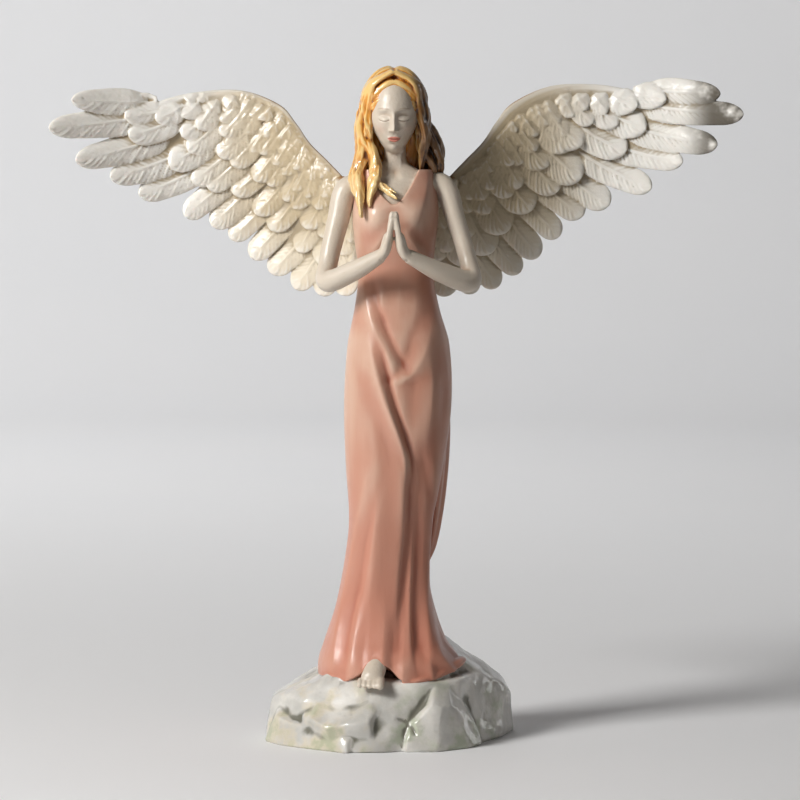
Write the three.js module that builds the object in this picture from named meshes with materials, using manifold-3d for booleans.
// A glazed porcelain angel standing in prayer on a rock, cast and fired as one piece. Millimetres, +Z up.
// The figure faces -Y, its wings spread along X, and the origin is on the table under the middle of its box.
import * as THREE from "three";
import { mergeVertices } from "three/addons/utils/BufferGeometryUtils.js";
import Module from "manifold-3d";

const wasm = await Module();
wasm.setup();

// Driving dimensions
const HALF_SPAN = 176; // middle of the figure to a wing tip
const HEM_Z = 29; // table to the lowest corner of the hem
const GOWN_TOP_Z = 288; // table to the top of the straps
const HEAD_CENTRE = [-1, -4, 315];
const HEAD_BOW = 0.16; // how far the head is bowed, in radians

const TURN = 2 * Math.PI;
const point = (x, y, z) => new THREE.Vector3(x, y, z);
const clamp = (v, low, high) => Math.min(high, Math.max(low, v));
const bump = (v) => Math.exp(-v * v);

// 0 below low, 1 above high, and smooth between them.
function ease(v, low, high) {
  const s = clamp((v - low) / (high - low), 0, 1);
  return s * s * (3 - 2 * s);
}

// A smooth curve through rows of [key, value, value ...]: a function of the key that gives the values.
function through(rows) {
  const slope = (i, k) => {
    const a = rows[Math.max(0, i - 1)];
    const b = rows[Math.min(rows.length - 1, i + 1)];
    return (b[k] - a[k]) / (b[0] - a[0]);
  };
  return (key) => {
    const v = clamp(key, rows[0][0], rows[rows.length - 1][0]);
    let i = 0;
    while (i < rows.length - 2 && v > rows[i + 1][0]) i += 1;
    const span = rows[i + 1][0] - rows[i][0];
    const s = (v - rows[i][0]) / span;
    return rows[i].slice(1).map((value, n) => {
      const k = n + 1;
      const rise = rows[i + 1][k] - value;
      const start = slope(i, k) * span;
      const end = slope(i + 1, k) * span;
      return value + s * (start + s * (3 * rise - 2 * start - end + s * (start + end - 2 * rise)));
    });
  };
}

// A three.js cylinder whose side is moved to ring(t, angle), with both ends closed flat.
function loft(ring, sides, steps) {
  const geometry = new THREE.CylinderGeometry(1, 1, 1, sides, steps, false);
  const at = geometry.getAttribute("position");
  const middle = [0, 1].map((t) => {
    const sum = point(0, 0, 0);
    for (let k = 0; k < sides; k += 1) sum.add(ring(t, (TURN * k) / sides));
    return sum.divideScalar(sides);
  });
  for (let i = 0; i < at.count; i += 1) {
    const t = at.getY(i) + 0.5;
    const inner = Math.hypot(at.getX(i), at.getZ(i)) < 0.5;
    const p = inner ? middle[Math.round(t)] : ring(t, Math.atan2(at.getX(i), at.getZ(i)));
    at.setXYZ(i, p.x, p.y, p.z);
  }
  return geometry;
}

// A three.js sphere whose points are moved by place(direction).
function ball(place, sides, steps) {
  const geometry = new THREE.SphereGeometry(1, sides, steps);
  geometry.rotateX(Math.PI / 2);
  const at = geometry.getAttribute("position");
  for (let i = 0; i < at.count; i += 1) {
    const p = place(point(at.getX(i), at.getY(i), at.getZ(i)));
    at.setXYZ(i, p.x, p.y, p.z);
  }
  return geometry;
}

// A limb: an oval section swept along a curve. Rows are [x, y, z, half width, half depth], and across is the
// direction that the width follows as nearly as the curve allows.
function limb(rows, sides, steps, across = point(1, 0, 0)) {
  const line = new THREE.CatmullRomCurve3(rows.map((r) => point(r[0], r[1], r[2])), false, "centripetal");
  const size = through(rows.map((r, i) => [i / (rows.length - 1), r[3], r[4]]));
  return loft((t, angle) => {
    const along = line.getTangent(t);
    const side = across.clone().addScaledVector(along, -across.dot(along)).normalize();
    const front = along.clone().cross(side);
    const [width, depth] = size(t);
    return line.getPoint(t)
      .addScaledVector(side, width * Math.sin(angle))
      .addScaledVector(front, depth * Math.cos(angle));
  }, sides, steps);
}

// Joining and cutting
function solid(geometry) {
  const bare = geometry.clone();
  bare.deleteAttribute("normal");
  bare.deleteAttribute("uv");
  const merged = mergeVertices(bare, 1e-3);
  const make = (triVerts) => new wasm.Manifold(
    new wasm.Mesh({ numProp: 3, vertProperties: merged.attributes.position.array, triVerts }),
  );
  const made = make(new Uint32Array(merged.index.array));
  if (made.volume() > 0) return made;
  const turned = new Uint32Array(merged.index.array);
  for (let i = 0; i < turned.length; i += 3) [turned[i + 1], turned[i + 2]] = [turned[i + 2], turned[i + 1]];
  return make(turned);
}

const joined = (solids) => solids.reduce((whole, next) => whole.add(next));

function geometryOf(made) {
  const mesh = made.getMesh();
  const geometry = new THREE.BufferGeometry();
  geometry.setAttribute("position", new THREE.BufferAttribute(mesh.vertProperties, 3));
  geometry.setIndex(new THREE.BufferAttribute(mesh.triVerts, 1));
  return geometry;
}

// The rock: boulders with broad faces, flat below. A boulder is its corners on the table, each x, y and the lean of
// the side that follows, and the faces of its top, each a point on it and the way that it faces.
const BOULDERS = [
  {
    base: [[-66, -8, 0.1], [-47, -29, 0.2], [-22, -46.5, 0.06], [-6, -46.5, 0.14], [32, -28, 0.1],
      [48, -4, 0.1], [46, 28, 0.2], [20, 45, 0.1], [-20, 46.5, 0.2], [-52, 34, 0.1], [-66, 12, 0.14]],
    top: [[0, 0, 37, 0.04, -0.12, 1], [-40, 0, 34, -0.5, -0.1, 1], [-36, -25, 28, -0.6, -1, 1],
      [-14, -37, 30, -0.1, -1.1, 1], [16, -31, 37, 0.35, -1.5, 1], [36, -8, 37, 1.1, -0.5, 1],
      [-38, 28, 29, -0.6, 0.9, 1], [0, 35, 33, 0.1, 1.2, 1], [34, 28, 31, 1, 0.8, 1]],
  },
  {
    base: [[30, -24, 0.1], [44, -15, 0.2], [54, 2, 0.06], [61, 26, 0.12], [52, 40, 0.2], [30, 44, 0.1],
      [12, 20, 0]],
    top: [[33, 5, 42, 0.77, -0.15, 1], [47, -7, 26, 0.9, -0.9, 1], [58, 15, 21, 1.6, -0.1, 1],
      [45, 34, 25, 0.4, 1.2, 1]],
  },
  {
    base: [[0, -44, 0.2], [18, -40, 0.1], [36, -27, 0.3], [41, -18, 0.1], [20, -2, 0], [-6, -16, 0]],
    top: [[20, -33, 21, 0.4, -0.9, 1], [34, -22, 22, 1.1, -0.4, 1], [4, -38, 17, -0.4, -0.8, 1]],
  },
  {
    base: [[-67, -10, 0.1], [-58, -22, 0.2], [-24, -47, 0.1], [-8, -30, 0], [-40, 2, 0]],
    top: [[-44, -26, 14.5, -0.15, -0.5, 1], [-24, -42, 16, 0.5, -0.7, 1], [-62, -14, 14, -0.9, -0.3, 1]],
  },
];
const BLOCK = 300;

function boulder({ base, top }) {
  const sides = base.map(([x, y, lean], i) => {
    const [x2, y2] = base[(i + 1) % base.length];
    return { at: point(x, y, 0), out: point(y2 - y, x - x2, lean * Math.hypot(x2 - x, y2 - y)) };
  });
  const tops = top.map(([x, y, z, nx, ny, nz]) => ({ at: point(x, y, z), out: point(nx, ny, nz) }));
  let made = solid(new THREE.BoxGeometry(BLOCK, BLOCK, BLOCK));
  [{ at: point(0, 0, 0), out: point(0, 0, -1) }, ...sides, ...tops].forEach(({ at, out }) => {
    const inward = out.clone().normalize().negate();
    made = made.trimByPlane(inward.toArray(), inward.dot(at));
  });
  return made;
}

// The gown: rows of [z, left, right, front, back] from the hem up.
const GOWN = through([
  [27, -39, 34, -33, 33], [40, -39.5, 33, -31, 31], [50, -36.5, 25, -27, 28], [70, -30, 18.2, -22, 24],
  [90, -26, 15.7, -20, 21], [110, -23.7, 17.5, -19, 20], [140, -25.5, 24, -19, 22], [170, -26.3, 28, -20, 25],
  [200, -24.5, 27, -18, 22], [218, -21, 22, -15, 17], [236, -19, 18.7, -13, 13], [252, -21, 20, -16, 13.5],
  [266, -22, 20.5, -18, 14], [277, -20, 18.5, -14, 13.5], [287, -19, 18, -9.5, 11],
]);

// The hem rises over the foot and at her left: rows of [x, rise].
const HEM_RISE = through([
  [-40, 0], [-26, 3], [-17, 8], [-10, 14], [-3, 12], [3, 8], [14, 8], [24, 11], [34, 15],
]);
const BUST = [[9, 264], [-11, 264]];


// The point of the gown at a height and at an angle round it, from the front.
function gownPoint(z, angle) {
  const [left, right, front, back] = GOWN(z);
  const ahead = Math.cos(angle);
  const x = (left + right) / 2 + (Math.sin(angle) * (right - left)) / 2;
  const bust = BUST.reduce((sum, [bx, bz]) => sum + 3 * bump((z - bz) / 8) * bump((x - bx) / 6.5), 0);
  return point(x, (ahead > 0 ? front : -back) * ahead - bust * ease(ahead, 0, 0.4), z);
}

function gown(sides, steps) {
  return loft((t, angle) => {
    const [left, right] = GOWN(HEM_Z);
    const x = (left + right) / 2 + (Math.sin(angle) * (right - left)) / 2;
    const low = HEM_Z + HEM_RISE(x)[0] * (0.4 + 0.6 * ease(Math.cos(angle), -0.3, 0.5));
    const share = t * (0.75 + 0.25 * t);
    return gownPoint(low + (GOWN_TOP_Z - low) * share, angle);
  }, sides, steps);
}

// The neckline: a wedge cut from the front, [x, z] of its corners.
const NECKLINE = [[-1, 271.5], [11.5, 284], [12.5, GOWN_TOP_Z + 2], [-14.5, GOWN_TOP_Z + 2], [-13.5, 284]];
const NECK_DEPTH = 34;
function neckline() {
  const outline = new THREE.Shape(NECKLINE.map(([x, z]) => new THREE.Vector2(x, z)));
  const wedge = new THREE.ExtrudeGeometry(outline, { depth: NECK_DEPTH, bevelEnabled: false });
  return wedge.rotateX(Math.PI / 2);
}

// Folds are ridges that lie on the gown: rows of [z, x, height, half width] from low to high.
const FRONT_FOLDS = [
  [[126, 9, 0.4, 3], [150, 4.5, 2.6, 3], [171, -3.5, 3, 3], [189, -9, 2.4, 3], [207, -14, 0.4, 2.6]],
  [[183, 2, 0.4, 3], [191, -2, 2.4, 2.8], [206, -8.5, 2.4, 2.6], [218, -13, 1.6, 2.6], [232, -15.5, 0.2, 2]],
  [[179, -2, 0.4, 2.4], [183, 6, 2.2, 2.8], [194, 12.5, 2.4, 2.6], [213, 16.5, 0.3, 2.4]],
  [[150, 15.5, 0.4, 4], [170, 17.5, 2, 4], [196, 17, 0.3, 3]],
  [[33, -14, 2.2, 5.4], [70, -13, 2.6, 5.6], [105, -10.5, 3, 6], [135, -9.5, 2.4, 6.6], [168, -12, 0.2, 6]],
  [[36, 0, 0.8, 3], [60, 0.5, 2.2, 2.8], [90, 3, 2.6, 2.6], [120, 5.5, 2, 2.6], [148, 8, 0.2, 2.4]],
  [[36, 18, 1.4, 4], [60, 13, 2.6, 3], [90, 12, 2.6, 2.8], [125, 15, 2, 3.4], [152, 18, 0.2, 3]],
  [[30, -32, 2.4, 3.4], [55, -29, 2.6, 3], [86, -22.5, 2.4, 2.8], [112, -18, 1.8, 2.8], [140, -12, 0.2, 2.6]],
  [[37, 27, 2, 3], [48, 19.5, 1.8, 2.8], [66, 15, 0.3, 2.4]],
];
const BACK_FOLDS = [-25, -8, 8, 23].map((x, n) => [
  [31, x * 1.1, 2.8, 4.6], [80, x * 0.75, 3, 3.8], [140, x * 0.7 - 1, n % 2 ? 2 : 2.8, 3.6],
  [180, x * 0.6, n % 2 ? 0.6 : 1.6, 3.4], [212, x * 0.5, 0.2, 3],
]);
const FOLD_SINK = 2.4;

// A fold's foot is sunk in the gown. face is 1 in front and -1 behind.
function fold(rows, face, sides, steps) {
  return limb(rows.map(([z, x, height, half]) => {
    const [left, right] = GOWN(z);
    const across = clamp((2 * x - left - right) / (right - left), -0.97, 0.97);
    const angle = face > 0 ? Math.asin(across) : Math.PI - Math.asin(across);
    const p = gownPoint(z, angle);
    const out = point(across, -face * Math.sqrt(1 - across * across), 0);
    const middle = p.addScaledVector(out, -FOLD_SINK);
    return [middle.x, middle.y, middle.z, half, height + FOLD_SINK];
  }), sides, steps);
}

// The skirt's loose edge that hangs at her left side, behind the leg: [x, y, z, half width, half depth].
const SIDE_DRAPE = [
  [14, 8, 86, 1.2, 1.4], [17, 9, 100, 3.8, 4.6], [20, 8, 125, 5.4, 7], [21.5, 6, 160, 6, 8],
  [20, 4, 190, 4, 6],
];

// Arms, from the shoulder over the elbow to the wrist: [x, y, z, half width, half depth].
const ARMS = [
  [[-15, 3, 281, 6.5, 6.5], [-24.5, 2, 278, 6.4, 6.6], [-29, -1, 263, 5.6, 5.6], [-34, -6, 241, 4.9, 5.2],
    [-34.5, -12, 232.5, 5.4, 5.6], [-21, -21, 237.5, 5, 5], [-7.6, -29.5, 245, 3.4, 3.6]],
  [[15, 3, 281, 6.5, 6.5], [24, 2, 278, 6, 6.6], [30, -1, 263, 4.9, 5.4], [36.5, -6, 241, 4.5, 5.2],
    [37, -12, 232.5, 5.4, 5.6], [23, -21, 236.5, 5, 5], [6, -29.5, 245, 3.4, 3.6]],
];

// A praying hand: a palm, four fingers side by side and a thumb. side is -1 for the hand at the left of the view.
const PALMS_X = -1;
function hand(side, sides, steps) {
  const palm = limb([
    [PALMS_X + side * 7, -29.5, 244.5, 3, 3.4], [PALMS_X + side * 4.4, -30.5, 248, 2.8, 4.2],
    [PALMS_X + side * 3.2, -31, 252.5, 2.9, 4.6], [PALMS_X + side * 2.4, -31, 257, 2.2, 4.2],
  ], sides, steps);
  const fingers = [0, 1, 2, 3].map((n) => {
    const y = -34.4 + 2.25 * n;
    const tip = [264.4, 266.8, 267.2, 265.4][n];
    return limb([
      [PALMS_X + side * 3, y, 252.5, 1.7, 1.35], [PALMS_X + side * 2, y + 0.2, 258, 1.6, 1.3],
      [PALMS_X + side * 1.2, y + 0.4, tip - 2.5, 1.35, 1.15], [PALMS_X + side * 0.6, y + 0.5, tip, 0.6, 0.5],
    ], 4, 2);
  });
  const thumb = limb([
    [PALMS_X + side * 3.4, -28, 248.5, 1.6, 1.6], [PALMS_X + side * 2.2, -26, 253, 1.4, 1.4],
    [PALMS_X + side * 1.4, -25.4, 258.4, 0.6, 0.6],
  ], 5, 2);
  return [palm, ...fingers, thumb];
}

// Chest, shoulders and neck under the gown.
const CHEST = through([
  [258, 17, -14.5, 11], [270, 18, -15, 12], [279, 21, -11.8, 12], [284, 20.5, -8.4, 10.5],
  [288, 12, -5.4, 8.6], [292, 6.4, -4.8, 6.6], [300, 5.4, -6.6, 4.4], [306, 5.4, -8, 3.2],
]);
function chest(sides, steps) {
  return loft((t, angle) => {
    const z = 258 + 48 * t;
    const [half, front, back] = CHEST(z);
    const ahead = Math.cos(angle);
    return point(-0.5 + half * Math.sin(angle), (front + back) / 2 - (ahead * (back - front)) / 2, z);
  }, sides, steps);
}

// The head: an egg with the jaw drawn in, a brow, a nose, closed eyes, lips and a chin, bowed a little.
const HEAD_HALF = { width: 12.2, depth: 14, height: 19.5 };
function head(sides, steps) {
  return ball((direction) => {
    const { x, y, z } = direction;
    const jaw = ease(-z, 0, 1);
    const front = ease(-y, 0.1, 0.7);
    const p = point(
      x * HEAD_HALF.width * (1 - 0.3 * jaw),
      y * HEAD_HALF.depth * (y > 0 ? 1 - 0.25 * jaw : 1 - 0.06 * jaw) - 0.5,
      z * HEAD_HALF.height,
    );
    const nose = 3 * bump(p.x / 1.7) * ease(p.z, -6.8, -4.4) * (1 - ease(p.z, -4, 5));
    const sockets = -1.5 * bump((Math.abs(p.x) - 4.6) / 2.8) * bump((p.z - 1.6) / 2.4);
    const lids = 0.9 * bump((Math.abs(p.x) - 4.6) / 2) * bump((p.z - 1) / 1.5);
    const lips = 1 * bump(p.x / 3) * bump((p.z + 9.6) / 1.4);
    const chin = 1.1 * bump(p.x / 3.4) * bump((p.z + 14.6) / 2.4);
    p.y -= front * (nose + sockets + lids + lips + chin);
    return p.applyAxisAngle(point(1, 0, 0), HEAD_BOW).add(point(...HEAD_CENTRE));
  }, sides, steps);
}

// Hair: a cap over the crown, parted in the middle, and long waving locks.
function hairCap(sides, steps) {
  return ball((direction) => {
    const { x, y, z } = direction;
    const parting = 1.2 * bump(x / 0.12) * ease(z, 0.3, 0.8);
    return point(x * 15.6, y * 15 + 2.8, z * 17.5 - parting)
      .applyAxisAngle(point(1, 0, 0), HEAD_BOW)
      .add(point(HEAD_CENTRE[0], HEAD_CENTRE[1] + 1.5, 322.2));
  }, sides, steps);
}

// The mass of hair behind the neck that the locks lie on: [x, y, z, half width, half depth].
const HAIR_MASS = [
  [-1, 4, 320, 13, 9], [-1, 7.5, 304, 17, 7.5], [-1, 10, 290, 19, 6.5], [-1, 12, 277, 18, 5.5],
  [-1, 16, 262, 14, 3],
];

// Each lock runs from the parting over the side of the head to its tip. heading is the way that it leaves by, in
// degrees, 0 in front and minus to the left of the view. route is the points that it passes after that.
const LOCKS = [
  { heading: -48, half: 3.4, waves: 1,
    route: [[-11.5, -13, 305], [-8.5, -13.5, 291], [-9.5, -15, 283], [-3, -17.5, 273]] },
  { heading: -66, half: 5, waves: 1.3,
    route: [[-16, -9, 304], [-14.5, -12, 290], [-13, -16, 278], [-16, -18.5, 267]] },
  { heading: -86, half: 5.2, waves: 1.3,
    route: [[-20, -3, 304], [-20, -6, 290], [-18, -12.5, 278], [-20, -16, 269]] },
  { heading: -110, half: 4.6, waves: 1.2,
    route: [[-20.5, 4, 304], [-21.5, 0, 289], [-21.5, -8, 278], [-21, -14, 270]] },
  { heading: 52, half: 3.2, waves: 0.8, route: [[12.5, -9.5, 305], [10.5, -6, 295], [11.5, -3, 287]] },
  { heading: 70, half: 4.6, waves: 1.1, route: [[17.5, -5, 305], [17, -2, 295], [18, 2, 286]] },
  { heading: 92, half: 4.8, waves: 1.1, route: [[21, 1, 304], [21, 3, 294], [25, 6, 284]] },
  { heading: 116, half: 5.4, waves: 1.5, route: [[20, 8, 303], [21, 10, 288], [20, 14, 270]] },
  { heading: 145, half: 6.4, waves: 1.6, route: [[11, 13, 302], [12, 15, 280], [9, 17.5, 258]] },
  { heading: 180, half: 6.8, waves: 1.7, route: [[-1, 14.5, 302], [-1, 16, 278], [-3, 18.5, 252]] },
  { heading: -145, half: 6.4, waves: 1.5, route: [[-13, 13, 302], [-13, 15, 280], [-13, 17.5, 259]] },
];
const HAIR_SIDE = { across: 15, ahead: 13.2, z: 318 };
const WAVE_REACH = 1.9;

function lock({ heading, route, half, waves }, sides, steps, n) {
  const turn = (heading * Math.PI) / 180;
  const [cx, cy] = HEAD_CENTRE;
  const out = point(Math.sin(turn), -Math.cos(turn), 0);
  const side = point(cx + HAIR_SIDE.across * out.x, cy + 2 + HAIR_SIDE.ahead * out.y, HAIR_SIDE.z);
  const parting = point(cx + 1.6 * out.x, cy - 9.5 + 12 * ease(Math.abs(heading), 50, 180), 336.4);
  const crown = parting.clone().lerp(side, 0.55).add(point(out.x * 4, out.y * 3, 5));
  const spine = new THREE.CatmullRomCurve3([parting, crown, side, ...route.map((r) => point(...r))]);
  const count = 2 * steps;
  const rows = Array.from({ length: count + 1 }, (_, i) => {
    const t = i / count;
    const sway = WAVE_REACH * Math.sin(TURN * waves * t + n) * ease(t, 0.3, 0.6);
    const p = spine.getPoint(t).add(point(sway, -0.6 * sway, 0));
    const thick = half * (0.55 + 0.45 * ease(t, 0, 0.5) - 0.55 * ease(t, 0.72, 1));
    return [p.x, p.y, p.z, thick, thick * 0.7];
  });
  return limb(rows, sides, steps, point(Math.cos(turn), Math.sin(turn), 0));
}

// Wings, drawn in a plane of u, outward from the middle, and z. A wing is cupped: it leaves the back, sweeps
// behind the figure and comes forward again to the tips.
const WING_CUP = 30;
const wingDepth = (u) => 12 + WING_CUP * Math.sin(Math.PI * clamp((u / HALF_SPAN - 0.06) / 0.98, 0, 1));
const flat = (rows) => new THREE.SplineCurve(rows.map(([u, z]) => new THREE.Vector2(u, z)));

// From the outermost feather to the one beside the body: where feathers leave the leading edge, the point that
// they bend round, and their tips, all as [u, z].
const LEADING = flat([
  [122, 324], [104, 328.5], [80, 329.5], [60, 322], [51, 312], [44, 302], [34, 292], [24, 281], [16, 268],
]);
const BEND = flat([
  [118, 323.5], [106, 310], [95, 296], [80, 291], [66, 284], [52, 273], [38, 258], [28, 246], [21, 238],
]);
const TIPS = flat([
  [165, 322], [HALF_SPAN, 309], [163, 293], [146, 284.5], [131, 274], [109, 265.5], [95, 260], [84, 251.5],
  [74, 242.5], [63, 234], [52, 228], [39, 225], [26, 224],
]);
const RIGHT_WING_LIFT = 6;

function along(share, way) {
  const start = LEADING.getPoint(share);
  const bend = BEND.getPoint(share);
  const tip = TIPS.getPoint(share);
  return start.multiplyScalar((1 - way) ** 2)
    .addScaledVector(bend, 2 * way * (1 - way))
    .addScaledVector(tip, way ** 2);
}

function wingPlace(side, at, forward) {
  const lift = side > 0 ? RIGHT_WING_LIFT * ease(at.x, 30, 150) : 0;
  return point(side * at.x, wingDepth(at.x) - forward, at.y + lift);
}

// The wing's arm and skin, which the feathers lie on: thick at the leading edge and thin behind.
function wingSkin(side, sides, steps) {
  return loft((t, angle) => {
    const s = 0.5 - 0.5 * Math.cos(angle);
    const thick = (3.2 + 4.2 * t) * Math.pow(s, 0.5) * Math.pow(1.02 - s, 0.8) + 0.5;
    const at = along(0.04 + 0.94 * t, s * (0.6 + 0.08 * t));
    return wingPlace(side, at, Math.sin(angle) > 0 ? thick : -thick);
  }, sides, steps);
}

// A feather: a long leaf with a raised shaft and a round tip, its outer edge lifted over its neighbour. rise is how
// far its root and tip stand in front of the wing's middle.
const LEAF = through([[0, 0, 0.6], [0.33, 0.5, 1], [0.67, 0.88, 0.92], [1, 1, 0.42]]);
const LEAF_SIDES = 3;
const LEAF_EDGE = Math.sin(TURN / LEAF_SIDES);
function feather(side, share, { from, to, rise }, half, steps) {
  return loft((t, angle) => {
    const [s, width] = LEAF(t);
    const way = from + (to - from) * s;
    const over = along(share, way + 0.02).sub(along(share, way - 0.02)).normalize();
    over.set(-over.y, over.x);
    const c = (Math.sin(angle) / LEAF_EDGE) * half * width;
    const up = Math.cos(angle) * (1.1 + 0.7 * (1 - s));
    const at = along(share, way).addScaledVector(over, c);
    return wingPlace(side, at, rise[0] + (rise[1] - rise[0]) * s + 0.14 * c + up);
  }, LEAF_SIDES, steps);
}

// Rows of feathers, the long ones and the ones that cover their roots: how many, the share of the wing that they
// begin at, where their roots and tips lie on the way to the trailing edge, and how far they rise.
const FEATHER_ROWS = [
  { count: 13, start: 0, from: 0.45, to: 1, half: 8.2, rise: [1.2, 0.6] },
  { count: 9, start: 0.03, from: 0.3, to: 0.72, half: 9.2, rise: [2.6, 2] },
];

// Where a wing grows from the back: [x, y, z, half width, half depth].
const WING_ROOT = [
  [6, 6, 264, 7, 5], [18, 14, 274, 7, 5], [31, 21, 284, 5, 3.6],
];

function featherRow(side, row, steps) {
  return Array.from({ length: row.count }, (_, n) => {
    const share = row.start + ((0.99 - row.start) * n) / (row.count - 1);
    return feather(side, share, row, row.half * (1 - 0.25 * share), steps);
  });
}

// The short feathers over the arm are one scalloped strip.
const SCALLOP = { lobes: 7, from: 0.1, to: 0.47, rise: [3.4, 4.4], notch: 0.09, pointsPerLobe: 3 };
function scallops(side) {
  const { lobes, from, to, rise, notch, pointsPerLobe } = SCALLOP;
  return loft((t, angle) => {
    const s = 0.5 + 0.5 * Math.sin(angle);
    const lobe = Math.abs(Math.sin(Math.PI * lobes * t));
    const share = 0.2 + 0.77 * t;
    const at = along(share, from + (to - from) * s - notch * (1 - lobe) * s);
    const high = rise[0] + (rise[1] - rise[0]) * s + (Math.cos(angle) > 0.5 ? 1.4 * lobe + 0.6 : 0);
    return wingPlace(side, at, Math.cos(angle) < -0.5 ? 0 : high);
  }, 4, lobes * pointsPerLobe);
}

function wing(side) {
  return joined([
    wingSkin(side, 6, 6),
    scallops(side),
    limb(WING_ROOT.map(([x, ...rest]) => [side * x, ...rest]), 5, 2),
    ...FEATHER_ROWS.flatMap((row) => featherRow(side, row, 3)),
  ].map(solid));
}

// The bare foot that shows under the hem.
function foot() {
  const parts = [limb([
    [-9, -18, 42, 4, 4.6], [-10.5, -27, 38.5, 4.8, 4.2], [-12, -34, 34, 5.2, 3], [-12.6, -38, 32, 4.6, 2],
  ], 6, 3)];
  for (let n = 0; n < 5; n += 1) {
    const x = -8.4 - 2.1 * n;
    const size = n === 0 ? 1.6 : 1.2 - 0.06 * n;
    parts.push(limb([
      [x, -34, 33, size, size], [x - 0.3, -40 + 0.6 * n, 31.2, size * 0.8, size * 0.8],
    ], 5, 1));
  }
  return joined(parts.map(solid));
}

const dress = solid(gown(18, 12)).subtract(solid(neckline()));
const parts = [
  ...BOULDERS.map(boulder),
  dress,
  ...FRONT_FOLDS.map((rows) => solid(fold(rows, 1, 4, 5))),
  ...BACK_FOLDS.map((rows) => solid(fold(rows, -1, 4, 4))),
  solid(limb(SIDE_DRAPE, 6, 4)),
  solid(chest(12, 5)),
  ...ARMS.map((rows) => solid(limb(rows, 6, 8, point(1, 0, 0.4).normalize()))),
  ...[-1, 1].flatMap((side) => hand(side, 6, 2).map(solid)),
  solid(head(20, 10)),
  solid(hairCap(12, 6)),
  solid(limb(HAIR_MASS, 6, 3)),
  ...LOCKS.map((row, n) => solid(lock(row, 4, 6, n))),
  wing(-1),
  wing(1),
  foot(),
];
// The joined casting, without the slivers of air that are shut in where locks meet the head.
const bodies = joined(parts).decompose();
const whole = bodies.reduce((large, next) => (next.volume() > large.volume() ? next : large));

const glaze = new THREE.MeshStandardMaterial({ color: 0xece6da, roughness: 0.18, metalness: 0 });
const figurine = new THREE.Mesh(geometryOf(whole), glaze);
figurine.name = "angel_figurine";

const model = new THREE.Group();
model.add(figurine);

export default model;
